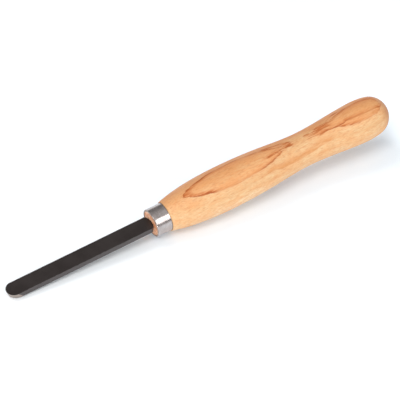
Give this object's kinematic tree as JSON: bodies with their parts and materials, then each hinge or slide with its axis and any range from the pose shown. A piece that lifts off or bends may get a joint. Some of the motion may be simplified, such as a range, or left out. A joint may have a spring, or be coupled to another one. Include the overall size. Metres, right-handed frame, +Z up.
{
  "type": "round nose scraper",
  "caption": "Round nose scraper for wood turning: a flat black steel bar with a half-round ground nose, a short steel ferrule and a turned pale wood handle, lying at rest.",
  "frame": {"origin": "on the bench that the tool lies on, under the middle of its length and midway across it", "axes": "+X along the tool from the nose towards the butt, level with the bench (the tool's own axis rises 5.0 degrees towards the butt), +Y across the blade, +Z up"},
  "size_m": [0.329, 0.0342, 0.0453],
  "materials": {
    "black_steel": "satin",
    "ferrule_steel": "satin",
    "pale_wood": "satin"
  },
  "bodies": {
    "root": {"blade": "black_steel", "ferrule": "ferrule_steel", "handle": "pale_wood"}
  },
  "joints": []
}
